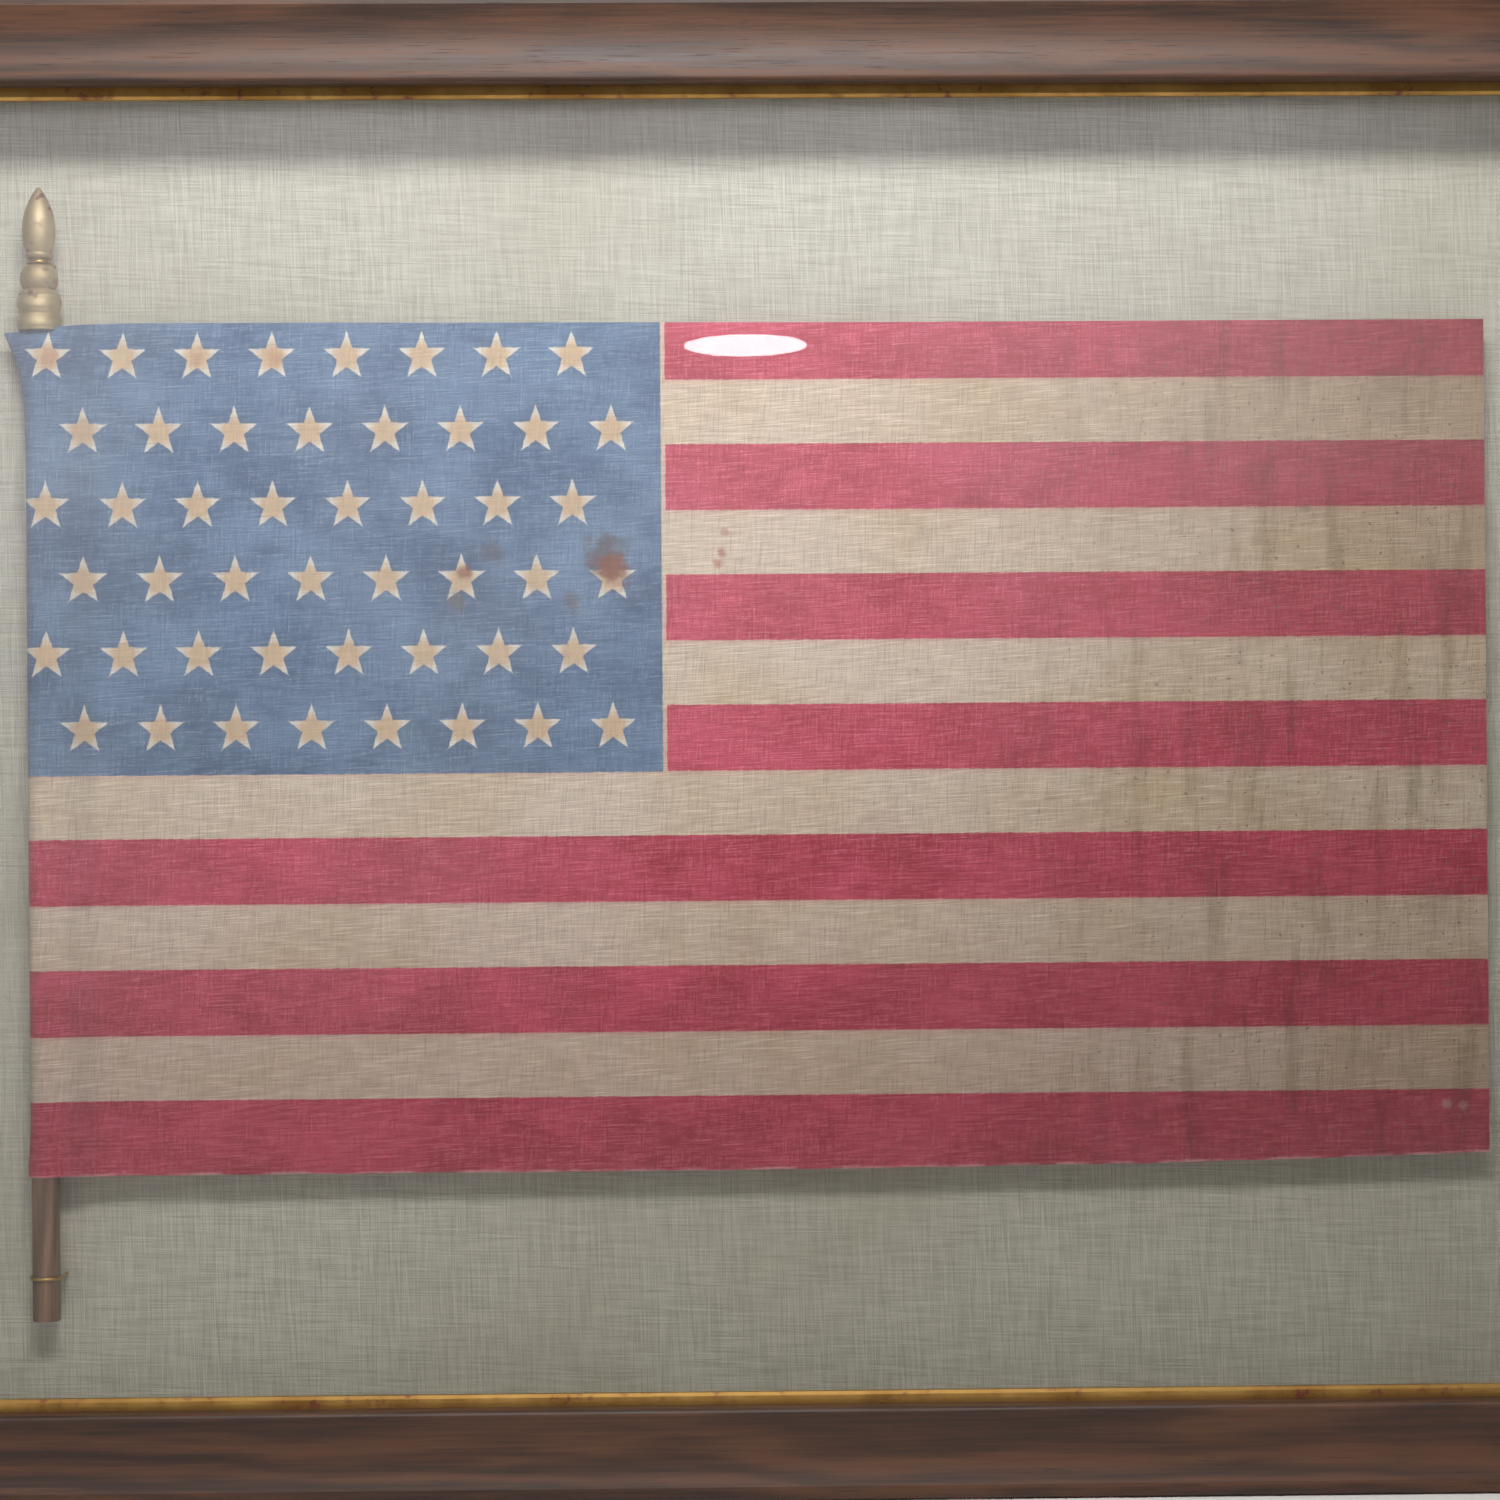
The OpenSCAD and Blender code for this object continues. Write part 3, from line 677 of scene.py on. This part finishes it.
def wood_material(name, grain_axis, dark, light, rough=0.52):
    """Straight-grained wood with fibres, growth rings and dark pores."""
    material, s = new_material(name)
    place = list(s.place())
    along = place.pop(grain_axis)
    across, depth = place

    def grain(along_per_metre, across_per_metre, detail):
        return s.noise(s.mul(along, along_per_metre), s.mul(across, across_per_metre),
                       s.mul(depth, across_per_metre), detail=detail)

    wave, fibre = grain(5, 26, 3), grain(28, 900, 4)
    pores = s.rise(grain(60, 1900, 3), 0.60, 0.72)
    rings = s.do("SINE", s.add(s.mul(across, 900), s.add(s.mul(depth, 500), s.mul(wave, 26))))
    tone = s.add(s.mul(rings, 0.13), s.add(s.mul(fibre, 0.7), s.mul(wave, 0.45)))
    colour = s.mix(s.rise(tone, 0.25, 0.95), dark, light)
    pore_colour = (*[0.45 * c for c in dark[:3]], 1)
    colour = s.mix(s.mul(pores, 0.55), colour, pore_colour)
    height = s.add(s.mul(fibre, 0.5), s.mul(s.invert(pores), 0.8))
    s.principled(colour, rough=s.add(s.mul(fibre, 0.25), rough - 0.1), normal=s.bump(height, 0.12 * MM, 0.4))
    return material


def gilt_material(name, bright, dull, rough=0.22, roped_node=None):
    """Old gold leaf: rubbed through to red clay in specks, dulled in patches. roped_node's foot is carved."""
    material, s = new_material(name)
    x, y, z = s.place()
    speck = s.clouds((x, y, z), 260, detail=4)
    broad = s.clouds((x, y, z), 45, detail=3)
    rubbed = s.both(s.rise(speck, 0.56, 0.66), s.rise(broad, 0.35, 0.65))
    colour = s.mix(s.rise(broad, 0.3, 0.7), bright, dull)
    colour = s.mix(rubbed, colour, GILT_CLAY)
    normal = s.bump(speck, 0.1 * MM, 0.35)
    if roped_node:
        low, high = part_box(roped_node)
        angle = s.do("ARCTAN2", s.sub(y, (low.y + high.y) / 2), s.sub(x, (low.x + high.x) / 2))
        strands = s.do("SINE", s.add(angle, s.mul(z, FULL_TURN / ROPE_PITCH)))
        on_foot = s.fall(z, low.z + FINIAL_FOOT, low.z + FINIAL_FOOT + 0.5 * MM)
        normal = s.bump(s.both(s.add(s.mul(strands, 0.5), 0.5), on_foot), 0.9 * MM, 0.7, under=normal)
    s.principled(colour, rough=s.add(s.mul(broad, 0.35), rough), normal=normal,
                 metal=s.mul(s.invert(rubbed), 0.92))
    return material


def metal_material(name, colour, tarnish):
    """Bare metal with fine scratches and a few dull spots."""
    material, s = new_material(name)
    x, y, z = s.place()
    scratch = s.noise(s.mul(x, 300), s.mul(y, 4000), s.mul(z, 4000), detail=2)
    spots = s.rise(s.clouds((x, y, z), 420, detail=5), 0.52, 0.70)
    rough = s.add(s.mul(spots, 0.25), s.add(s.mul(scratch, 0.2), 0.2))
    s.principled(s.mix(s.mul(spots, 0.7), colour, tarnish), rough=rough,
                 normal=s.bump(scratch, 0.03 * MM, 0.3), metal=1.0)
    return material


def board_material(name, dark, light, rough=0.85):
    """Paper board or hardboard: fine fibres and flecks."""
    material, s = new_material(name)
    place = s.place()
    fibre = s.clouds(place, 350, detail=6, rough=0.7)
    tone = s.add(s.mul(fibre, 0.7), s.mul(s.clouds(place, 12, detail=3), 0.3))
    colour = s.mix(s.rise(tone, 0.35, 0.65), dark, light)
    s.principled(colour, rough=rough, normal=s.bump(fibre, 0.08 * MM, 0.4))
    return material


def rubber_material():
    material, s = new_material("bumper_rubber")
    dust = s.clouds(s.place(), 500, detail=4)
    colour = s.mix(s.rise(dust, 0.5, 0.7), srgb(28, 28, 29), srgb(66, 64, 62))
    s.principled(colour, rough=0.7, normal=s.bump(dust, 0.05 * MM, 0.3))
    return material


def glass_material():
    """Clear flat glass: see-through, mirroring more at a slant, under a thin uneven pale film that is partly
    dust and partly painted reflection haze.
    """
    material, s = new_material("clear_glass")
    clear = s.tree.nodes.new("ShaderNodeBsdfTransparent")
    clear.inputs["Color"].default_value = (0.965, 0.978, 0.972, 1)
    mirror = s.tree.nodes.new("ShaderNodeBsdfGlossy")
    mirror.inputs["Roughness"].default_value = 0.004
    fresnel = s.tree.nodes.new("ShaderNodeFresnel")
    fresnel.inputs["IOR"].default_value = 1.5
    dust = s.tree.nodes.new("ShaderNodeBsdfDiffuse")
    dust.inputs["Color"].default_value = srgb(226, 222, 226)
    pane = s.shader_mix(s.mul(fresnel.outputs[0], 0.32), clear.outputs[0], mirror.outputs[0])

    x, y, z = s.place()
    heavier_top_left = s.rise(s.sub(z, s.mul(x, 0.35)), 0.10, 0.48)          # the film is thinner at the lower right, like the reflection haze it partly paints
    film = s.mul(s.clouds((x, y, z), 7, detail=4), s.add(s.mul(heavier_top_left, 0.85), 0.15))
    # The pale film: partly dust, partly painted reflection haze over the flag.
    s.surface(s.shader_mix(s.mul(film, 0.13), pane, dust.outputs[0]))
    return material


# ---------------------------------------------------------------- materials on the solids
def dress(material, *names):
    for name in names:
        mesh = nodes[name].data
        mesh.materials.clear()
        mesh.materials.append(material)


def four(piece):
    """The names of a piece that is on all four sides."""
    return [f"{side}_{piece}" for side in ("top", "bottom", "left", "right")]


def dress_frame():
    dark, light = srgb(40, 23, 14), srgb(88, 55, 33)
    dress(wood_material("walnut_x", ALONG_X, dark, light), "top_rail", "bottom_rail")
    dress(wood_material("walnut_z", ALONG_Z, dark, light), "left_rail", "right_rail")
    dress(wood_material("spline_wood", ALONG_X, srgb(120, 82, 48), srgb(172, 128, 84)), "corner_keys")
    dress(gilt_material("gilt_slip", srgb(196, 156, 88), srgb(150, 112, 58)), *four("slip"))
    dress(glass_material(), "glass_pane")
    dress(board_material("spacer_card", srgb(172, 167, 150), srgb(196, 191, 176)), *four("spacer"))


def dress_contents():
    gilt = gilt_material("gilt_finial", srgb(206, 190, 156), srgb(170, 150, 114), rough=0.46,
                         roped_node="finial")
    dress(gilt, "finial")
    dress(wood_material("staff_wood", ALONG_Z, srgb(84, 60, 46), srgb(138, 106, 82), rough=0.58), "staff")
    white = board_material("white_board", srgb(216, 211, 198), srgb(234, 230, 219))
    dress(white, "mount_board", "float_panel")


def dress_back():
    dress(board_material("hardboard", srgb(96, 66, 42), srgb(136, 98, 64), rough=0.6), "backer_board")
    dress(metal_material("stamped_brass", srgb(190, 156, 92), srgb(112, 84, 48)),
          "upper_clip", "lower_clip", *[f"turn_button_{i}" for i in range(1, 9)])
    dress(metal_material("zinc_steel", srgb(176, 178, 182), srgb(118, 116, 112)),
          "turn_button_screws", "hanger_plate_left", "hanger_plate_right", "hanger_screws",
          "d_ring_left", "d_ring_right")
    dress(rubber_material(), "wall_bumpers")


# ---------------------------------------------------------------- put together
add_camera()
add_lights()
add_floor_and_lamp()
dress_frame()
dress_contents()
dress_back()

cloth, cloth_flat = build_flag()
frays = build_frays()
linen = build_linen()
for piece in (cloth, frays, linen):
    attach(piece, ROOT)
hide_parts("flag")
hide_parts("backing_linen")

bpy.context.scene.view_settings.view_transform = "Standard"
